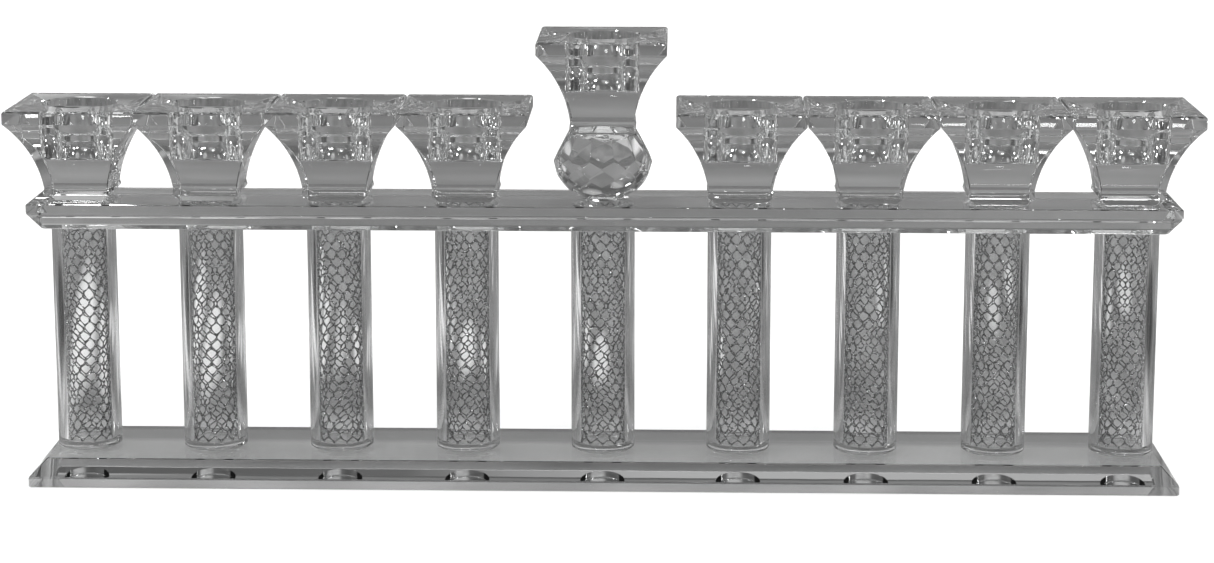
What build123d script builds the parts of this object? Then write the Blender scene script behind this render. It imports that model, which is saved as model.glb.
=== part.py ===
from build123d import *

import math
import os

os.makedirs("parts", exist_ok=True)

# A crystal menorah: nine glass columns, each lined with a metal net, stand between two bevelled
# plates. Eight square candle cups sit on the upper plate and a ninth, for the shamash, is raised
# on a faceted ball. All lengths are millimetres. +X runs along the row, +Y to the back, +Z up,
# and the origin is the centre of the base's underside.

# The row of nine places, counted from the centre outwards
centre_gap = 42.8
cup_pitch = 40.3
side_places = [centre_gap + cup_pitch * step for step in range(4)]
left_places = [-place for place in reversed(side_places)]
cup_places = left_places + side_places
column_places = left_places + [0.0] + side_places

# Base plate: a straight band below a bevel that runs round all four sides
base_length = 357.0
base_width = 48.0
base_band = 3.1
base_bevel_height = 5.1
base_bevel_run = 4.95
base_top = base_band + base_bevel_height

# Columns: thick-walled glass tubes, each bored from the top down to a solid floor
column_height = 71.4
tube_radius = 10.0
tube_bore_radius = 7.1
tube_floor = 2.0
tube_arris = 0.35
column_top = base_top + column_height

# Net sleeves, standing on the floors of the bores
net_radius = 6.9
net_wall = 0.2
net_end_gap = 0.4
net_foot = base_top + tube_floor

# Top plate: the same kind of plate turned over, its bevel underneath
top_length = 357.0
top_width = 30.0
top_band = 2.95
top_bevel_height = 5.55
top_bevel_run = 4.05
top_surface = column_top + top_bevel_height + top_band

# Candle cup: square in plan, flared from a narrow neck to a straight rim, with a round socket
cup_width = 40.0
cup_height = 29.8
rim_height = 4.0
neck_width = 19.8
neck_bottom = 3.9
flare_middle = (13.2, 15.5)
foot_width = 20.6
foot_chamfer = 2.2
rim_arris = 0.6
socket_radius = 11.5
socket_depth = 16.0
mouth_arris = 0.4

# The shamash cup stands on the ball with a plain foot, its edge only dressed
shamash_foot_chamfer = 0.4

# Shamash ball: six rings of flat facets between two flats. Each ring has a tilt above the
# horizontal, in degrees, and the distance of its facets from the ball's centre
ball_height = 21.9
ball_centre = 11.7
facets_in_ring = 12
facet_rings = [(-60.0, 12.75), (-38.0, 13.75), (-20.0, 14.45), (0.0, 14.85), (27.0, 13.85), (33.0, 14.3)]
ball_blank_radius = 17.0
shamash_foot = top_surface + ball_height


def bevel_angle(run, height):
    """The angle of a bevel's face from the vertical, in degrees."""
    return math.degrees(math.atan2(run, height))


# Base plate
with BuildPart() as base_plate:
    with BuildSketch(Plane.XY):
        Rectangle(base_length, base_width)
    extrude(amount=base_band)
    with BuildSketch(Plane.XY.offset(base_band)):
        Rectangle(base_length, base_width)
    extrude(amount=base_bevel_height, taper=bevel_angle(base_bevel_run, base_bevel_height))

base_plate.part.label = "base_plate"
export_step(base_plate.part, "parts/base_plate.step")

# Top plate, with its bevel drawn downwards from the band
with BuildPart() as top_plate:
    with BuildSketch(Plane.XY.offset(top_surface - top_band)):
        Rectangle(top_length, top_width)
    extrude(amount=top_band)
    with BuildSketch(Plane.XY.offset(top_surface - top_band)):
        Rectangle(top_length, top_width)
    extrude(amount=-top_bevel_height, taper=bevel_angle(top_bevel_run, top_bevel_height))

top_plate.part.label = "top_plate"
export_step(top_plate.part, "parts/top_plate.step")

# Columns and the net sleeves inside them
for number, place in enumerate(column_places, start=1):
    with BuildPart() as column_tube:
        with BuildSketch(Plane(origin=(place, 0, base_top))):
            Circle(tube_radius)
        extrude(amount=column_height)
        with Locations((place, 0, column_top)):
            Hole(tube_bore_radius, column_height - tube_floor)
        outer_rims = column_tube.edges().filter_by(GeomType.CIRCLE).group_by(SortBy.RADIUS)[-1]
        chamfer(outer_rims, length=tube_arris)

    column_tube.part.label = f"column_tube_{number}"
    export_step(column_tube.part, f"parts/column_tube_{number}.step")

    with BuildPart() as net_sleeve:
        with BuildSketch(Plane(origin=(place, 0, net_foot))):
            Circle(net_radius)
            Circle(net_radius - net_wall, mode=Mode.SUBTRACT)
        extrude(amount=column_height - tube_floor - net_end_gap)

    net_sleeve.part.label = f"net_sleeve_{number}"
    export_step(net_sleeve.part, f"parts/net_sleeve_{number}.step")


def cup_outline(foot_cut):
    """A cup seen from one side: foot chamfer, foot band, concave flare and straight rim."""
    with BuildSketch() as outline:
        with BuildLine():
            Polyline(
                (0, 0),
                (foot_width / 2 - foot_cut, 0),
                (foot_width / 2, foot_cut),
                (neck_width / 2, neck_bottom),
            )
            flare_top = (cup_width / 2, cup_height - rim_height)
            ThreePointArc((neck_width / 2, neck_bottom), flare_middle, flare_top)
            Polyline(flare_top, (cup_width / 2, cup_height), (0, cup_height), (0, 0))
        make_face()
        mirror(about=Plane.YZ)

    return outline.sketch


def make_cup(place, foot_height, foot_cut, name):
    """A cup whose front and side outlines are the same; their common solid is the square flare."""
    foot = (place, 0, foot_height)
    outline = cup_outline(foot_cut)
    with BuildPart() as cup:
        with BuildSketch(Plane(origin=foot, x_dir=(1, 0, 0), z_dir=(0, -1, 0))):
            add(outline)
        extrude(amount=cup_width / 2, both=True)
        with BuildSketch(Plane(origin=foot, x_dir=(0, 1, 0), z_dir=(1, 0, 0))):
            add(outline)
        extrude(amount=cup_width / 2, both=True, mode=Mode.INTERSECT)
        chamfer(cup.faces().sort_by(Axis.Z)[-1].edges(), length=rim_arris)
        with Locations((place, 0, foot_height + cup_height)):
            Hole(socket_radius, socket_depth)
        mouth = cup.edges().filter_by(GeomType.CIRCLE).sort_by(Axis.Z)[-1]
        chamfer(mouth, length=mouth_arris)

    cup.part.label = name
    export_step(cup.part, f"parts/{name}.step")


for number, place in enumerate(cup_places, start=1):
    make_cup(place, top_surface, foot_chamfer, f"candle_cup_{number}")

make_cup(0.0, shamash_foot, shamash_foot_chamfer, "shamash_cup")

# Shamash ball, cut from a round blank by one plane for each facet; each ring is turned by half
# a facet from the ring below it
with BuildPart() as shamash_ball:
    with BuildSketch(Plane.XY.offset(top_surface)):
        Circle(ball_blank_radius)
    extrude(amount=ball_height)
    for ring, (tilt, facet_distance) in enumerate(facet_rings):
        for facet in range(facets_in_ring):
            turn = math.radians(360 / facets_in_ring * (facet + ring / 2))
            lift = math.radians(tilt)
            outward = Vector(
                math.cos(turn) * math.cos(lift), math.sin(turn) * math.cos(lift), math.sin(lift)
            )
            centre = Vector(0, 0, top_surface + ball_centre)
            split(bisect_by=Plane(centre + outward * facet_distance, z_dir=outward), keep=Keep.BOTTOM)

shamash_ball.part.label = "shamash_ball"
export_step(shamash_ball.part, "parts/shamash_ball.step")
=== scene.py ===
import math
import random

import bmesh
import bpy
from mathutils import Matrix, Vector
from mathutils.geometry import delaunay_2d_cdt


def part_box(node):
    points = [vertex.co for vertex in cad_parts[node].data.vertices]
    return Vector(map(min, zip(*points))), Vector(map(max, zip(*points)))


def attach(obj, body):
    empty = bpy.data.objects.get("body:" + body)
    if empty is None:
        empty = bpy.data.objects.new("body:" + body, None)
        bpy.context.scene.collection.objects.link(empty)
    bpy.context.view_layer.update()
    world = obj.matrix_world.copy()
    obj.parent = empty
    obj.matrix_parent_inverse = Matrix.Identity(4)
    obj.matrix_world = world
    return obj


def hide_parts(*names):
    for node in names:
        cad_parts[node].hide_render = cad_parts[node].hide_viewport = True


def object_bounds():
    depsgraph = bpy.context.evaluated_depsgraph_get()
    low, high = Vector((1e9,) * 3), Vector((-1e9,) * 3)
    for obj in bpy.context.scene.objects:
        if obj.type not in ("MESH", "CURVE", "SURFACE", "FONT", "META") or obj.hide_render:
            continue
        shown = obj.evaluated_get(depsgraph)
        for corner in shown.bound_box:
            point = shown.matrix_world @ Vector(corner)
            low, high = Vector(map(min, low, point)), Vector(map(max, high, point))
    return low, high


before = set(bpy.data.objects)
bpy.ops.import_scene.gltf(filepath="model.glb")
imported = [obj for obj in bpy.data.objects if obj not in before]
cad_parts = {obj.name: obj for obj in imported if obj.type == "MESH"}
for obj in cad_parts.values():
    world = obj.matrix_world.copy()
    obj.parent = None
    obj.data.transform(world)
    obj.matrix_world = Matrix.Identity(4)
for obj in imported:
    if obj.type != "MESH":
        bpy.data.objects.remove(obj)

# The CAD model's own box, before anything is added.
cad_low, cad_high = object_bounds()

MM = 0.001
BODY = "root"

# ---------------------------------------------------------------- sizes that the frame doesn't give
ARRIS = 0.3 * MM                # width of the polished arris along every cut edge
GLUE_GAP = 0.02 * MM            # film of adhesive between two bonded pieces
SHARP_ANGLE = math.radians(12)  # facets that meet at more than this keep a crisp edge

BASE_BAND = 3.1 * MM
BASE_BEVEL_RUN = 4.95 * MM
TOP_BAND = 2.95 * MM
TOP_BEVEL_RUN = 4.05 * MM

TUBE_BORE = 7.1 * MM            # radius
TUBE_FLOOR = 2.0 * MM           # glass left under the bore
TUBE_FOOT_BOND = 7.0 * MM       # radius of the adhesive under a column
TUBE_ARRIS = 0.35 * MM
TUBE_SEGMENTS = 144

NET_CELLS_AROUND = 12
NET_ROWS = 13
NET_THICKNESS = 0.22 * MM
NET_LEAN = 0.10                 # most that a row leans over the one below, in cells
NET_SWAY = 0.18                 # side to side wave up the sleeve, in cells
NET_SAG = 0.12                  # up and down wave round the sleeve, in rows

RIM_HEIGHT = 4.0 * MM
NECK_HALF = 9.9 * MM
NECK_BOTTOM = 3.9 * MM
FLARE_MIDDLE = (13.2 * MM, 15.5 * MM)  # a point half-way along the flare: reach, height
FLARE_STEPS = 18
FOOT_HALF = 10.3 * MM
FOOT_CHAMFER = 2.2 * MM
SHAMASH_FOOT_CHAMFER = 0.4 * MM
FOOT_BOND_STEPS = 48
RIM_ARRIS = 0.6 * MM
SOCKET_RADIUS = 11.5 * MM
SOCKET_DEPTH = 16.0 * MM
SOCKET_FILLET = 0.5 * MM
MOUTH_ARRIS = 0.4 * MM
CUP_SIDE_STEPS = 28

SHAMASH_BOND = 9.3 * MM         # radius of the adhesive between the ball and the shamash cup
SHAMASH_BOND_STEPS = 48
BALL_BOND = 4.8 * MM            # radius of the adhesive under the ball
BALL_BOND_STEPS = 40
BALL_ARRIS = 0.08 * MM

CUPS = [f"candle_cup_{n}" for n in range(1, 9)]
COLUMNS = range(1, 10)

# ---------------------------------------------------------------- the glass and the studio round it
GLASS_TINT = (0.97, 0.975, 0.975)
GLASS_INDEX = 1.54
FACETS_PER_METRE = 2500.0       # facets of the crushed silver wire
FACET_TILT = 0.8

FLOOR_REACH = 8.0
FLOOR_GREY = 0.6
FLOOR_GLOW = 0.42               # light that the pale floor gives off by itself
ROOM_EDGE = 0.3                 # softness of each thing's edge, as a part of its radius
# Things in the room: azimuth, elevation and radius in degrees, grey level.
ROOM = [
    # lit walls, and the dark furniture and openings between them
    (-60, 2, 6, 0.6),
    (60, 8, 5, 0.5),
    (-38, 12, 6, 0.05),
    (40, 8, 8, 0.04),
    (-92, 0, 13, 0.04),
    (-92, 22, 13, 0.04),
    (92, 0, 13, 0.04),
    (92, 22, 13, 0.04),
    (-55, 28, 11, 0.03),
    (-32, 17, 4, 0.05),
    (50, 33, 8, 0.04),
    (180, 8, 16, 0.12),
    (8, 42, 9, 0.45),
    (-43, 2, 8, 0.03),
    (-16, 25, 5, 0.45),
    (28, 24, 4, 0.45),
    (-50, 12, 4, 0.04),
    (62, 20, 6, 0.04),
    (-66, 28, 5, 0.03),
    (-98, 50, 9, 0.35),
    (100, 40, 9, 0.35),
    # lamps
    (-90, 68, 2.4, 40.0),
    (35, 60, 2.2, 30.0),
    (165, 55, 3.0, 30.0),
    (-150, 35, 3.0, 30.0),
    (120, 30, 3.0, 30.0),
    (-30, 30, 1.6, 30.0),
    (75, 45, 1.8, 30.0),
    (-65, 40, 1.6, 30.0),
    (-140, 55, 2.2, 30.0),
]
# Grey of the room by height, from straight down (0) to straight up (1).
ROOM_LEVELS = [
    (0.0, 0.30), (0.41, 0.26), (0.55, 0.26), (0.60, 0.24), (0.645, 0.22), (0.70, 0.15), (0.74, 0.10),
    (0.90, 0.12), (1.0, 0.20),
]
# Grey of the table top at distances behind the object's middle, in metres, with light and shade
# painted in: lighter under the base plate, a painted shadow of the top plate just behind the base,
# then a lighter strip painted to light up the base's front band, and greys falling off further back.
TABLE_GREY_WITH_PAINTED_SHADE = [
    (-0.10, 0.45), (0.008, 0.55), (0.012, 0.20), (0.028, 0.20), (0.035, 0.36), (0.055, 0.36),
    (0.075, 0.18), (0.40, 0.19), (0.45, 0.20), (0.60, 0.16), (0.72, 0.13), (1.2, 0.13),
]
# Painted light: a glow that the table gives off under the base plate, standing in for light that
# the plate throws on it, out to a distance from its middle.
FOOT_PAINTED_GLOW = 0.2
FOOT_PAINTED_GLOW_REACH = 26 * MM
# Painted pools of light and painted shade on the table top behind the object: x, y, radius along
# x and along y, grey.
TABLE_PAINTED_LIGHT_AND_SHADE = [
    (-0.37, 0.12, 0.11, 0.10, 0.02),
    (0.37, 0.12, 0.11, 0.10, 0.02),
    (-0.215, 0.19, 0.032, 0.13, 0.66),
    (-0.155, 0.17, 0.020, 0.09, 0.62),
    (-0.105, 0.18, 0.012, 0.06, 0.42),
    (-0.056, 0.165, 0.018, 0.045, 0.62),
    (-0.008, 0.15, 0.016, 0.04, 0.60),
    (0.145, 0.24, 0.018, 0.05, 0.44),
    (0.205, 0.27, 0.022, 0.05, 0.50),
]

KEY_LIGHT_PLACE = (-0.5, -0.6, 1.4)
KEY_LIGHT_AIM = (0, 0, 0.07)
KEY_LIGHT_SIZE = 0.12
KEY_LIGHT_POWER = 3.0

CAMERA_PLACE = (0.0237, -0.8564, 0.2513)
CAMERA_PITCH = 80               # degrees up from straight down
CAMERA_TURN = 1.5
CAMERA_LENS = 82.59
CAMERA_SHIFT = -0.10


# ---------------------------------------------------------------- node material helpers
def new_material(name):
    material = bpy.data.materials.new(name)
    material.use_nodes = True
    material.node_tree.nodes.clear()
    return material, material.node_tree.nodes, material.node_tree.links


def noise(nodes, links, place, scale, detail=3.0):
    node = nodes.new("ShaderNodeTexNoise")
    node.inputs["Scale"].default_value = scale
    node.inputs["Detail"].default_value = detail
    links.new(place, node.inputs["Vector"])
    return node.outputs["Fac"]


def ramp(nodes, links, value, low, high, from_low=0.0, from_high=1.0):
    node = nodes.new("ShaderNodeMapRange")
    node.inputs["From Min"].default_value = from_low
    node.inputs["From Max"].default_value = from_high
    node.inputs["To Min"].default_value = low
    node.inputs["To Max"].default_value = high
    links.new(value, node.inputs["Value"])
    return node.outputs["Result"]


def multiply(nodes, links, first, second):
    node = nodes.new("ShaderNodeMath")
    node.operation = "MULTIPLY"
    links.new(first, node.inputs[0])
    links.new(second, node.inputs[1])
    return node.outputs["Value"]


def grey_ramp(nodes, links, value, levels):
    """Grey levels along a value; levels holds (value, grey) pairs in rising order."""
    first, last = levels[0][0], levels[-1][0]
    node = nodes.new("ShaderNodeValToRGB")
    stops = node.color_ramp.elements
    for at, grey in levels[1:-1]:
        stops.new((at - first) / (last - first)).color = (grey, grey, grey, 1.0)
    for stop, (_, grey) in ((stops[0], levels[0]), (stops[-1], levels[-1])):
        stop.color = (grey, grey, grey, 1.0)
    links.new(ramp(nodes, links, value, 0.0, 1.0, first, last), node.inputs["Fac"])
    return node.outputs["Color"]


def bump(nodes, links, height, distance):
    node = nodes.new("ShaderNodeBump")
    node.inputs["Distance"].default_value = distance
    links.new(height, node.inputs["Height"])
    return node.outputs["Normal"]


def crystal(name, ripple, smear):
    """Clear lead crystal: faint handling smears in its polish and a very slight ripple in its faces."""
    material, nodes, links = new_material(name)
    place = nodes.new("ShaderNodeTexCoord").outputs["Object"]
    shader = nodes.new("ShaderNodeBsdfPrincipled")
    shader.inputs["Base Color"].default_value = (*GLASS_TINT, 1.0)
    shader.inputs["Transmission Weight"].default_value = 1.0
    shader.inputs["IOR"].default_value = GLASS_INDEX
    smears = noise(nodes, links, place, 120.0, 4.0)
    links.new(ramp(nodes, links, smears, 0.0, smear, 0.5, 0.8), shader.inputs["Roughness"])
    if ripple:
        waves = noise(nodes, links, place, 60.0, 1.0)
        links.new(bump(nodes, links, waves, ripple), shader.inputs["Normal"])
    output = nodes.new("ShaderNodeOutputMaterial")
    links.new(shader.outputs["BSDF"], output.inputs["Surface"])
    return material


def bonded():
    """A glued face: the adhesive has the glass's own index, so light goes straight through it."""
    material, nodes, links = new_material("bonded_face")
    place = nodes.new("ShaderNodeTexCoord").outputs["Object"]
    haze = noise(nodes, links, place, 400.0, 3.0)
    clear = nodes.new("ShaderNodeBsdfTransparent")
    links.new(ramp(nodes, links, haze, 0.86, 1.0, 0.3, 0.6), clear.inputs["Color"])
    output = nodes.new("ShaderNodeOutputMaterial")
    links.new(clear.outputs["BSDF"], output.inputs["Surface"])
    return material


def silver():
    """Silvered wire crushed into tiny facets, each with its own tilt and polish, that glitter one
    by one."""
    material, nodes, links = new_material("silver_net_wire")
    place = nodes.new("ShaderNodeTexCoord").outputs["Object"]
    shader = nodes.new("ShaderNodeBsdfPrincipled")
    shader.inputs["Metallic"].default_value = 1.0
    grains = nodes.new("ShaderNodeTexVoronoi")
    grains.inputs["Scale"].default_value = FACETS_PER_METRE
    links.new(place, grains.inputs["Vector"])
    apart = nodes.new("ShaderNodeSeparateColor")
    links.new(grains.outputs["Color"], apart.inputs["Color"])
    tone = nodes.new("ShaderNodeValToRGB")
    tone.color_ramp.elements[0].color = (0.20, 0.20, 0.202, 1.0)
    tone.color_ramp.elements[1].color = (0.95, 0.95, 0.96, 1.0)
    tone.color_ramp.elements[0].position = 0.5
    tone.color_ramp.elements[1].position = 0.95
    links.new(apart.outputs["Red"], tone.inputs["Fac"])
    links.new(tone.outputs["Color"], shader.inputs["Base Color"])
    worn = noise(nodes, links, place, 900.0, 3.0)
    links.new(ramp(nodes, links, worn, 0.10, 0.38), shader.inputs["Roughness"])
    tilt = nodes.new("ShaderNodeVectorMath")
    tilt.operation = "MULTIPLY_ADD"
    tilt.inputs[1].default_value = (2 * FACET_TILT,) * 3
    tilt.inputs[2].default_value = (-FACET_TILT,) * 3
    links.new(grains.outputs["Color"], tilt.inputs[0])
    facet = nodes.new("ShaderNodeVectorMath")
    facet.operation = "ADD"
    links.new(tilt.outputs["Vector"], facet.inputs[0])
    links.new(nodes.new("ShaderNodeNewGeometry").outputs["Normal"], facet.inputs[1])
    level = nodes.new("ShaderNodeVectorMath")
    level.operation = "NORMALIZE"
    links.new(facet.outputs["Vector"], level.inputs[0])
    links.new(level.outputs["Vector"], shader.inputs["Normal"])
    output = nodes.new("ShaderNodeOutputMaterial")
    links.new(shader.outputs["BSDF"], output.inputs["Surface"])
    return material


PLATE_GLASS = crystal("plate_crystal", ripple=0.02 * MM, smear=0.04)
TUBE_GLASS = crystal("tube_crystal", ripple=0.04 * MM, smear=0.05)
CUP_GLASS = crystal("cup_crystal", ripple=0.0, smear=0.03)
BALL_GLASS = crystal("ball_crystal", ripple=0.0, smear=0.02)
BOND = bonded()
NET_METAL = silver()


# ---------------------------------------------------------------- mesh helpers
def make_piece(name, bm, materials, node):
    """Turns a bmesh into a finished piece that rides on the one body and replaces its CAD node."""
    bmesh.ops.remove_doubles(bm, verts=bm.verts, dist=0.0005 * MM)
    bmesh.ops.recalc_face_normals(bm, faces=bm.faces)
    for face in bm.faces:
        face.smooth = True
    for edge in bm.edges:
        edge.smooth = len(edge.link_faces) == 2 and edge.calc_face_angle(0.0) < SHARP_ANGLE
    mesh = bpy.data.meshes.new(name)
    bm.to_mesh(mesh)
    bm.free()
    for material in materials:
        mesh.materials.append(material)
    piece = bpy.data.objects.new(name, mesh)
    bpy.context.scene.collection.objects.link(piece)
    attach(piece, BODY)
    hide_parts(node)
    return piece


def soften(profile, width):
    """Cuts each inner corner of an open profile of (inset, height) points by a small flat."""
    out = [profile[0]]
    for before, corner, after in zip(profile, profile[1:], profile[2:]):
        here = Vector(corner)
        for other in (before, after):
            away = Vector(other) - here
            out.append(tuple(here + away.normalized() * min(width, away.length * 0.4)))
    out.append(profile[-1])
    return out


def loft(bm, rings):
    """Joins each ring of vertices to the next with quads."""
    made = [[bm.verts.new(point) for point in ring] for ring in rings]
    for lower, upper in zip(made, made[1:]):
        for a, b, c, d in zip(lower, lower[1:] + lower[:1], upper[1:] + upper[:1], upper):
            bm.faces.new((a, b, c, d))
    return made


def cap(bm, outline, height, patches=()):
    """A flat face inside a closed outline. Each patch is a closed loop of (x, y) points, or a pair
    of loops for a ring, and becomes its own bonded area with material index 1."""
    points = [Vector(point) for point in outline]
    edges = [(i, (i + 1) % len(outline)) for i in range(len(outline))]
    loops = [loop for patch in patches for loop in (patch if isinstance(patch, tuple) else (patch,))]
    for loop in loops:
        start = len(points)
        points += [Vector(point) for point in loop]
        edges += [(start + i, start + (i + 1) % len(loop)) for i in range(len(loop))]
    verts, _, faces, *_ = delaunay_2d_cdt(points, edges, [], 1, 1e-9)
    made = [bm.verts.new((v.x, v.y, height)) for v in verts]
    for face in faces:
        new = bm.faces.new([made[i] for i in face])
        middle = sum((verts[i] for i in face), Vector((0, 0))) / len(face)
        inside = sum(contains(loop, middle) for loop in loops)
        new.material_index = inside % 2


def contains(loop, point):
    """True if a point lies inside a closed loop of (x, y) points."""
    inside = False
    for (ax, ay), (bx, by) in zip(loop, loop[1:] + loop[:1]):
        if (ay > point.y) != (by > point.y) and point.x < (bx - ax) * (point.y - ay) / (by - ay) + ax:
            inside = not inside
    return inside


def circle(centre, radius, count):
    turns = [2 * math.pi * (i + 0.5) / count for i in range(count)]
    return [(centre[0] + radius * math.cos(t), centre[1] + radius * math.sin(t)) for t in turns]


def rectangle(half_x, half_y, arris):
    """A rectangle with its corners cut by a small flat, as eight (x, y) points."""
    out = []
    for sx, sy in ((1, 1), (-1, 1), (-1, -1), (1, -1)):
        ends = [(sx * half_x, sy * (half_y - arris)), (sx * (half_x - arris), sy * half_y)]
        out += ends if sx * sy > 0 else ends[::-1]
    return out


# ---------------------------------------------------------------- places from the frame
def middle(node):
    low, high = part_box(node)
    return (Vector(low) + Vector(high)) / 2


def half_size(node):
    low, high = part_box(node)
    return (Vector(high) - Vector(low)) / 2


base_low, base_high = (Vector(v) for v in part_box("base_plate"))
top_low, top_high = (Vector(v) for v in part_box("top_plate"))
tube_outer = half_size("column_tube_1").x
column_x = [middle(f"column_tube_{n}").x for n in COLUMNS]
cup_x = [middle(node).x for node in CUPS]
foot_half = FOOT_HALF - FOOT_CHAMFER


def foot_patch(centre_x):
    """The adhesive under a cup's foot: nearly square, with the wavy edge of squeezed-out glue."""
    rng = random.Random(round(centre_x * 1e5))
    phases = [rng.uniform(0, 2 * math.pi) for _ in range(3)]
    limit = foot_half * 0.97
    out = []
    for i in range(FOOT_BOND_STEPS):
        turn = 2 * math.pi * i / FOOT_BOND_STEPS
        edge = foot_half * 0.9 / max(abs(math.cos(turn)), abs(math.sin(turn))) ** 0.7
        wave = sum(math.sin(turn * (k + 2) + phases[k]) / (k + 2) for k in range(3))
        reach = min(edge * (0.93 + 0.06 * wave), foot_half * 1.25)
        x, y = reach * math.cos(turn), reach * math.sin(turn)
        out.append((centre_x + max(-limit, min(limit, x)), max(-limit, min(limit, y))))
    return out


def tube_foot(centre_x):
    """The edge of the glue under a column, short of the edge of its ground end."""
    return circle((centre_x, 0), TUBE_FOOT_BOND, TUBE_SEGMENTS)


def tube_head(centre_x):
    """The edge of a column's upper ground end, a little inside its arris."""
    return circle((centre_x, 0), tube_outer - TUBE_ARRIS * 1.2, TUBE_SEGMENTS)


def tube_mouth(centre_x):
    """The edge of the bore at a column's upper end."""
    return circle((centre_x, 0), TUBE_BORE + 0.1 * MM, TUBE_SEGMENTS)


# ---------------------------------------------------------------- plates
def make_plate(node, low, high, band, run, bevel_up, under, over):
    """A long plate: a straight band and a bevel round all four sides. under and over are the
    bonded patches on its lower and upper face."""
    half_x, half_y = (high.x - low.x) / 2, (high.y - low.y) / 2
    if bevel_up:
        profile = [(0, low.z), (0, low.z + band), (run, high.z)]
    else:
        profile = [(run, low.z), (0, high.z - band), (0, high.z)]
    (first, _), (last, _) = profile[0], profile[-1]
    softened = soften([(first + MM, low.z), *profile, (last + MM, high.z)], ARRIS)[1:-1]
    bm = bmesh.new()
    rings = [
        [(x, y, z) for x, y in rectangle(half_x - inset, half_y - inset, ARRIS * 1.4)]
        for inset, z in softened
    ]
    loft(bm, rings)
    for (inset, z), patches in ((softened[0], under), (softened[-1], over)):
        cap(bm, rectangle(half_x - inset, half_y - inset, ARRIS * 1.4), z, patches)
    make_piece(node + "_glass", bm, [PLATE_GLASS, BOND], node)


column_feet = [tube_foot(x) for x in column_x]
column_heads = [(tube_head(x), tube_mouth(x)) for x in column_x]
foot_patches = [foot_patch(x) for x in cup_x]
ball_foot_patch = circle((0, 0), BALL_BOND, BALL_BOND_STEPS)
shamash_patch = circle((0, 0), SHAMASH_BOND, SHAMASH_BOND_STEPS)
make_plate(
    "base_plate", base_low, base_high, BASE_BAND, BASE_BEVEL_RUN, True, [], column_feet,
)
make_plate(
    "top_plate", top_low, top_high, TOP_BAND, TOP_BEVEL_RUN, False, column_heads,
    foot_patches + [ball_foot_patch],
)


# ---------------------------------------------------------------- columns
def make_tube(number):
    """A thick glass tube with a floor near its foot. Its upper end and the middle of its foot are
    bonded."""
    node = f"column_tube_{number}"
    low, high = (Vector(v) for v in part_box(node))
    centre = middle(node)
    bottom, top, bore_floor = low.z + GLUE_GAP, high.z - GLUE_GAP, low.z + TUBE_FLOOR
    a = TUBE_ARRIS
    wall = [
        (TUBE_FOOT_BOND, bottom), (tube_outer - a, bottom), (tube_outer, bottom + a),
        (tube_outer, top - a), (tube_outer - a, top), (tube_outer - a * 1.2, top),
        (TUBE_BORE + a * 0.3, top), (TUBE_BORE, top - a),
        (TUBE_BORE, bore_floor + a), (TUBE_BORE - a, bore_floor),
    ]
    bm = bmesh.new()
    made = loft(bm, [
        [(x, y, z) for x, y in circle((centre.x, 0), radius, TUBE_SEGMENTS)] for radius, z in wall
    ])
    bm.faces.new(made[-1])
    for face in bm.faces:
        point = face.calc_center_median()
        outward = math.hypot(point.x - centre.x, point.y)
        face.material_index = int(point.z > top - 0.001 * MM and outward < tube_outer - a * 1.3)
    bm.faces.new(made[0]).material_index = 1
    make_piece(f"tube_{number}", bm, [TUBE_GLASS, BOND], node)


for number in COLUMNS:
    make_tube(number)


# ---------------------------------------------------------------- net sleeves
def net_cell():
    """A six-sided cell of the staggered net, in half-cell units, with a rounded hole: pairs of
    matching (outline, hole) points, corner and mid-side by turns."""
    side, peak = 0.20, 0.80
    corners = [(1, -side), (1, side), (0, peak), (-1, side), (-1, -side), (0, -peak)]
    out = []
    for (ax, ay), (bx, by) in zip(corners, corners[1:] + corners[:1]):
        for x, y, fill in ((ax, ay, 0.84), ((ax + bx) / 2, (ay + by) / 2, 0.905)):
            out.append(((x, y), (x * fill, y * fill)))
    return out


def face_height(corners):
    heights = [v.co.z for v in corners]
    return max(heights) - min(heights)


def make_net(number):
    """A sleeve of wire net: staggered cells, each a rounded hole framed by its own strands."""
    node = f"net_sleeve_{number}"
    low, high = (Vector(v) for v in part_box(node))
    centre = middle(node)
    radius = half_size(node).x - NET_THICKNESS
    rng = random.Random(number * 17)
    start = rng.uniform(0, 2 * math.pi)
    lean = rng.uniform(-NET_LEAN, NET_LEAN)
    stretch_phase = rng.uniform(0, 2 * math.pi)
    cell_wide = 2 * math.pi / NET_CELLS_AROUND
    cell_tall = (high.z - low.z) / NET_ROWS
    cell_points = net_cell()
    bm = bmesh.new()

    def place(u, v):
        """u goes round in cells and v up in rows; the net leans and stretches a little."""
        height = min(max(v, 0.0), NET_ROWS)
        shift = lean * height + NET_SWAY * math.sin(height * 0.55 + stretch_phase)
        turn = start + (u + shift) * cell_wide
        drop = NET_SAG * math.sin(2 * turn + height * 0.3)
        row_up = height + drop * math.sin(math.pi * height / NET_ROWS)
        z = low.z + min(max(row_up, 0), NET_ROWS) * cell_tall
        return (centre.x + radius * math.cos(turn), radius * math.sin(turn), z)

    for row in range(2 * NET_ROWS + 1):
        for cell in range(NET_CELLS_AROUND):
            u0, v0 = cell + 0.5 * (row % 2), row * 0.5
            outer, inner = (
                [bm.verts.new(place(u0 + 0.5 * x, v0 + 0.5 * y)) for x, y in loop]
                for loop in zip(*cell_points)
            )
            for i in range(len(inner)):
                j = (i + 1) % len(inner)
                corners = [inner[i], inner[j], outer[j], outer[i]]
                if face_height(corners) > 0.02 * MM:
                    bm.faces.new(corners)
    bmesh.ops.remove_doubles(bm, verts=bm.verts, dist=0.01 * MM)
    loose = [v for v in bm.verts if not v.link_faces]
    bmesh.ops.delete(bm, geom=loose, context="VERTS")
    piece = make_piece(f"net_{number}", bm, [NET_METAL], node)
    thick = piece.modifiers.new("strand_thickness", "SOLIDIFY")
    thick.thickness = NET_THICKNESS
    thick.offset = 1.0


for number in COLUMNS:
    make_net(number)


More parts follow.
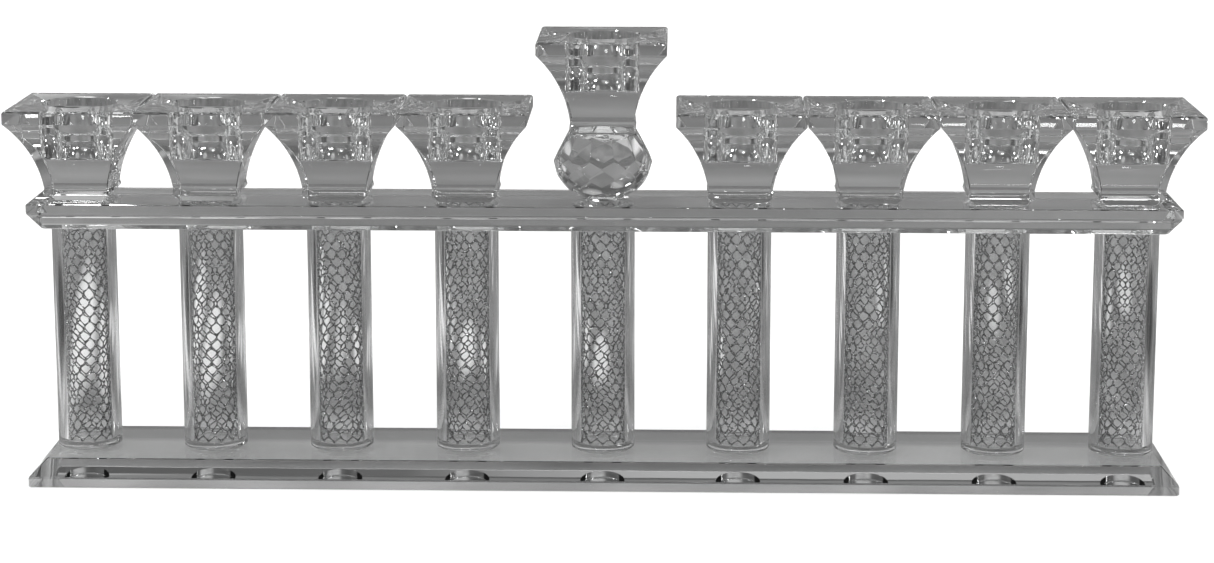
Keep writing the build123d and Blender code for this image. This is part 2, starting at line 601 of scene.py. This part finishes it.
# ---------------------------------------------------------------- cups
def arc_through(start, through, end, steps):
    """Points along the circle that passes through three points, from start to end."""
    (ax, ay), (bx, by), (cx, cy) = start, through, end
    d = 2 * (ax * (by - cy) + bx * (cy - ay) + cx * (ay - by))
    a2, b2, c2 = ax * ax + ay * ay, bx * bx + by * by, cx * cx + cy * cy
    ox = (a2 * (by - cy) + b2 * (cy - ay) + c2 * (ay - by)) / d
    oy = (a2 * (cx - bx) + b2 * (ax - cx) + c2 * (bx - ax)) / d
    radius = math.hypot(ax - ox, ay - oy)
    first, last = math.atan2(ay - oy, ax - ox), math.atan2(cy - oy, cx - ox)
    if first < 0:
        first += 2 * math.pi
    if last < 0:
        last += 2 * math.pi
    turns = [first + (last - first) * i / steps for i in range(steps + 1)]
    return [(ox + radius * math.cos(t), oy + radius * math.sin(t)) for t in turns]


def square_ring(half, steps, arris):
    """A square with cut corners and steps points along each side, from the +X side round."""
    out = []
    for turn in range(4):
        for i in range(steps):
            along = -1 + 2 * i / (steps - 1)
            x, y = half, along * (half - arris)
            for _ in range(turn):
                x, y = -y, x
            out.append((x, y))
    return out


def make_cup(node, foot_cut, patch):
    """A square flared cup with a round socket. foot_cut is the chamfer round its foot, and patch the
    glued area under it."""
    low, high = (Vector(v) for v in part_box(node))
    centre = middle(node)
    half = (high.x - low.x) / 2
    tall = high.z - low.z
    flare = arc_through((NECK_HALF, NECK_BOTTOM), FLARE_MIDDLE, (half, tall - RIM_HEIGHT), FLARE_STEPS)
    corners = [
        (FOOT_HALF - foot_cut - MM, GLUE_GAP), (FOOT_HALF - foot_cut, GLUE_GAP), (FOOT_HALF, foot_cut),
        (NECK_HALF, NECK_BOTTOM),
    ]
    lower = soften(corners + [flare[1]], ARRIS * 0.7)[1:-1]
    rim = [flare[-1], (half, tall - RIM_ARRIS), (half - RIM_ARRIS, tall), (half - 2 * MM, tall)]
    upper = soften([flare[-2]] + rim, ARRIS * 0.5)[1:-1]
    outside = lower + flare[1:-1] + upper
    bm = bmesh.new()

    def shifted(ring, z):
        return [(centre.x + x, centre.y + y, low.z + z) for x, y in ring]

    rings = [shifted(square_ring(reach, CUP_SIDE_STEPS, ARRIS * 0.9), z) for reach, z in outside]
    bearings = [math.atan2(y, x) for x, y in square_ring(half, CUP_SIDE_STEPS, ARRIS)]

    def round_ring(radius, z):
        return shifted([(radius * math.cos(t), radius * math.sin(t)) for t in bearings], z)

    socket_floor = tall - SOCKET_DEPTH
    socket = [
        (SOCKET_RADIUS + MOUTH_ARRIS, tall), (SOCKET_RADIUS, tall - MOUTH_ARRIS),
        (SOCKET_RADIUS, socket_floor + SOCKET_FILLET),
        (SOCKET_RADIUS - SOCKET_FILLET * 0.3, socket_floor + SOCKET_FILLET * 0.3),
        (SOCKET_RADIUS - SOCKET_FILLET, socket_floor),
        (SOCKET_RADIUS * 0.5, socket_floor),
    ]
    rings += [round_ring(radius, z) for radius, z in socket]
    made = loft(bm, rings)
    bm.faces.new(made[-1])
    outline = [(x, y) for x, y, _ in rings[0]]
    cap(bm, outline, low.z + GLUE_GAP, [patch])
    make_piece(node + "_glass", bm, [CUP_GLASS, BOND], node)


for node, patch in zip(CUPS, foot_patches):
    make_cup(node, FOOT_CHAMFER, patch)
make_cup("shamash_cup", SHAMASH_FOOT_CHAMFER, shamash_patch)


# ---------------------------------------------------------------- shamash ball
def outline_of(face):
    return [(v.co.x, v.co.y) for v in face.verts]


def make_ball():
    """The faceted ball keeps its CAD facets; its edges get a narrow polished arris."""
    node = "shamash_ball"
    low, high = (Vector(v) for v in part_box(node))
    bm = bmesh.new()
    bm.from_mesh(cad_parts[node].data)
    bmesh.ops.remove_doubles(bm, verts=bm.verts, dist=0.001 * MM)
    bmesh.ops.dissolve_limit(bm, angle_limit=math.radians(1), verts=bm.verts, edges=bm.edges)
    bmesh.ops.bevel(
        bm, geom=list(bm.edges), offset=BALL_ARRIS, segments=1, profile=0.5, affect="EDGES",
        clamp_overlap=True,
    )
    for face in bm.faces:
        height = face.calc_center_median().z
        if face.normal.z > 0.99 and height > high.z - 0.01 * MM:
            top_face = face
        if face.normal.z < -0.99 and height < low.z + 0.01 * MM:
            bottom_face = face
    top_outline, bottom_outline = outline_of(top_face), outline_of(bottom_face)
    bmesh.ops.delete(bm, geom=[top_face, bottom_face], context="FACES_ONLY")
    cap(bm, top_outline, high.z, [shamash_patch])
    cap(bm, bottom_outline, low.z, [ball_foot_patch])
    make_piece("ball_glass", bm, [BALL_GLASS, BOND], node)


make_ball()


# ---------------------------------------------------------------- studio
def paint_light_shade_patch(nodes, links, place, shade, centre, reach, grey):
    """Paints a patch of light or shade: turns shade to one grey inside a soft ellipse on the floor."""
    shift = nodes.new("ShaderNodeMapping")
    shift.vector_type = "TEXTURE"
    shift.inputs["Location"].default_value = (*centre, 0.0)
    shift.inputs["Scale"].default_value = (*reach, 1.0)
    links.new(place, shift.inputs["Vector"])
    away = nodes.new("ShaderNodeVectorMath")
    away.operation = "LENGTH"
    links.new(shift.outputs["Vector"], away.inputs[0])
    blend = nodes.new("ShaderNodeMix")
    links.new(ramp(nodes, links, away.outputs["Value"], 1.0, 0.0, 0.6, 1.2), blend.inputs["Factor"])
    links.new(shade, blend.inputs["A"])
    blend.inputs["B"].default_value = grey
    return blend.outputs["Result"]


def under_glass(nodes, links):
    """The mid-grey table top that the glass bends and mirrors, with painted shade and pools of light
    on it, and a painted glow under the base plate.
    """
    place = nodes.new("ShaderNodeTexCoord").outputs["Object"]
    table = nodes.new("ShaderNodeBsdfDiffuse")
    spread = nodes.new("ShaderNodeSeparateXYZ")
    links.new(place, spread.inputs["Vector"])
    # Table grey by depth, with a painted shadow behind the base and painted light under it.
    table_grey_with_shade = grey_ramp(nodes, links, spread.outputs["Y"], TABLE_GREY_WITH_PAINTED_SHADE)
    grain = ramp(nodes, links, noise(nodes, links, place, 14.0, 2.0), 0.75, 1.2, 0.35, 0.65)
    shade = multiply(nodes, links, table_grey_with_shade, grain)
    # Painted pools of light and painted shade, one soft ellipse each.
    for x, y, reach_x, reach_y, grey in TABLE_PAINTED_LIGHT_AND_SHADE:
        shade = paint_light_shade_patch(nodes, links, place, shade, (x, y), (reach_x, reach_y), grey)
    links.new(shade, table.inputs["Color"])
    # Painted light: the table glows under the base plate.
    away = nodes.new("ShaderNodeMath")
    away.operation = "ABSOLUTE"
    links.new(spread.outputs["Y"], away.inputs[0])
    near = ramp(
        nodes, links, away.outputs["Value"], FOOT_PAINTED_GLOW, 0.0, FOOT_PAINTED_GLOW_REACH - 5 * MM, FOOT_PAINTED_GLOW_REACH,
    )
    painted_glow = nodes.new("ShaderNodeEmission")
    links.new(near, painted_glow.inputs["Strength"])
    under = nodes.new("ShaderNodeAddShader")
    links.new(table.outputs["BSDF"], under.inputs[0])
    links.new(painted_glow.outputs["Emission"], under.inputs[1])
    return under.outputs["Shader"]


def pale_floor():
    """A pale floor. Seen through or mirrored in the glass it is a mid-grey table top, as it is
    behind any clear object whose surroundings are darker than its backdrop."""
    material, nodes, links = new_material("pale_floor")
    pale = nodes.new("ShaderNodeBsdfDiffuse")
    pale.inputs["Color"].default_value = (FLOOR_GREY, FLOOR_GREY, FLOOR_GREY, 1.0)
    glow = nodes.new("ShaderNodeEmission")
    glow.inputs["Strength"].default_value = FLOOR_GLOW
    lit = nodes.new("ShaderNodeAddShader")
    links.new(pale.outputs["BSDF"], lit.inputs[0])
    links.new(glow.outputs["Emission"], lit.inputs[1])
    path = nodes.new("ShaderNodeLightPath")
    mix = nodes.new("ShaderNodeMixShader")
    links.new(path.outputs["Is Camera Ray"], mix.inputs["Fac"])
    links.new(under_glass(nodes, links), mix.inputs[1])
    links.new(lit.outputs["Shader"], mix.inputs[2])
    output = nodes.new("ShaderNodeOutputMaterial")
    links.new(mix.outputs["Shader"], output.inputs["Surface"])
    return material


def make_floor():
    bm = bmesh.new()
    bmesh.ops.create_grid(bm, x_segments=8, y_segments=8, size=FLOOR_REACH)
    bmesh.ops.translate(bm, verts=bm.verts, vec=(0, 0, cad_low.z - 0.05 * MM))
    mesh = bpy.data.meshes.new("floor")
    bm.to_mesh(mesh)
    bm.free()
    mesh.materials.append(pale_floor())
    floor = bpy.data.objects.new("floor", mesh)
    bpy.context.scene.collection.objects.link(floor)


def bearing(azimuth, elevation):
    """A unit vector: azimuth 0 looks along +Y and grows towards +X, elevation is up."""
    turn, rise = math.radians(azimuth), math.radians(elevation)
    return (math.sin(turn) * math.cos(rise), math.cos(turn) * math.cos(rise), math.sin(rise))


def room_shade(nodes, links):
    """The grey of the room in each direction: its walls and ceiling, and the things in ROOM."""
    place = nodes.new("ShaderNodeTexCoord").outputs["Generated"]
    height = nodes.new("ShaderNodeSeparateXYZ")
    links.new(place, height.inputs["Vector"])
    up = ramp(nodes, links, height.outputs["Z"], 0.0, 1.0, -1.0, 1.0)
    clutter = ramp(nodes, links, noise(nodes, links, place, 3.0, 2.0), 0.8, 1.2, 0.35, 0.65)
    shade = multiply(nodes, links, grey_ramp(nodes, links, up, ROOM_LEVELS), clutter)
    for azimuth, elevation, radius, grey in ROOM:
        toward = nodes.new("ShaderNodeVectorMath")
        toward.operation = "DOT_PRODUCT"
        toward.inputs[1].default_value = bearing(azimuth, elevation)
        links.new(place, toward.inputs[0])
        outer = math.cos(math.radians(radius * (1 + ROOM_EDGE)))
        inner = math.cos(math.radians(radius * (1 - ROOM_EDGE)))
        spot = ramp(nodes, links, toward.outputs["Value"], 0.0, 1.0, outer, inner)
        blend = nodes.new("ShaderNodeMix")
        blend.data_type = "RGBA"
        blend.inputs["B"].default_value = (grey, grey, grey, 1.0)
        links.new(spot, blend.inputs["Factor"])
        links.new(shade, blend.inputs["A"])
        shade = blend.outputs["Result"]
    return shade


def make_world():
    """A pale studio for the eye and for matt faces. What the glass and the silver bend or mirror
    is the grey room round it."""
    world = bpy.data.worlds.new("studio")
    bpy.context.scene.world = world
    world.use_nodes = True
    nodes, links = world.node_tree.nodes, world.node_tree.links
    nodes.clear()
    room = nodes.new("ShaderNodeBackground")
    links.new(room_shade(nodes, links), room.inputs["Color"])
    pale = nodes.new("ShaderNodeBackground")
    pale.inputs["Color"].default_value = (1.0, 1.0, 1.0, 1.0)
    path = nodes.new("ShaderNodeLightPath")
    seen = nodes.new("ShaderNodeMath")
    seen.operation = "MAXIMUM"
    seen.use_clamp = True
    links.new(path.outputs["Is Camera Ray"], seen.inputs[0])
    links.new(path.outputs["Diffuse Depth"], seen.inputs[1])
    mix = nodes.new("ShaderNodeMixShader")
    links.new(seen.outputs["Value"], mix.inputs["Fac"])
    links.new(room.outputs["Background"], mix.inputs[1])
    links.new(pale.outputs["Background"], mix.inputs[2])
    output = nodes.new("ShaderNodeOutputWorld")
    links.new(mix.outputs["Shader"], output.inputs["Surface"])


def make_key_light():
    """A small soft lamp up on the left, aimed at the middle of the object."""
    light = bpy.data.lights.new("key_box", "AREA")
    light.shape = "RECTANGLE"
    light.size = light.size_y = KEY_LIGHT_SIZE
    light.energy = KEY_LIGHT_POWER
    lamp = bpy.data.objects.new("key_box", light)
    lamp.location = KEY_LIGHT_PLACE
    aim = Vector(KEY_LIGHT_AIM) - lamp.location
    lamp.rotation_euler = aim.to_track_quat("-Z", "Y").to_euler()
    lamp.visible_camera = False
    bpy.context.scene.collection.objects.link(lamp)


def make_camera():
    data = bpy.data.cameras.new("camera")
    data.sensor_width = 36.0
    data.lens = CAMERA_LENS
    data.shift_y = CAMERA_SHIFT
    data.clip_start, data.clip_end = 0.01, 50.0
    camera = bpy.data.objects.new("camera", data)
    camera.location = CAMERA_PLACE
    camera.rotation_euler = (math.radians(CAMERA_PITCH), 0, math.radians(CAMERA_TURN))
    bpy.context.scene.collection.objects.link(camera)
    bpy.context.scene.camera = camera


make_floor()
make_world()
make_key_light()
make_camera()

scene = bpy.context.scene
scene.view_settings.view_transform = "Standard"
scene.cycles.max_bounces = 48
scene.cycles.transmission_bounces = 48
scene.cycles.glossy_bounces = 24
scene.cycles.transparent_max_bounces = 48
scene.cycles.sample_clamp_indirect = 10.0
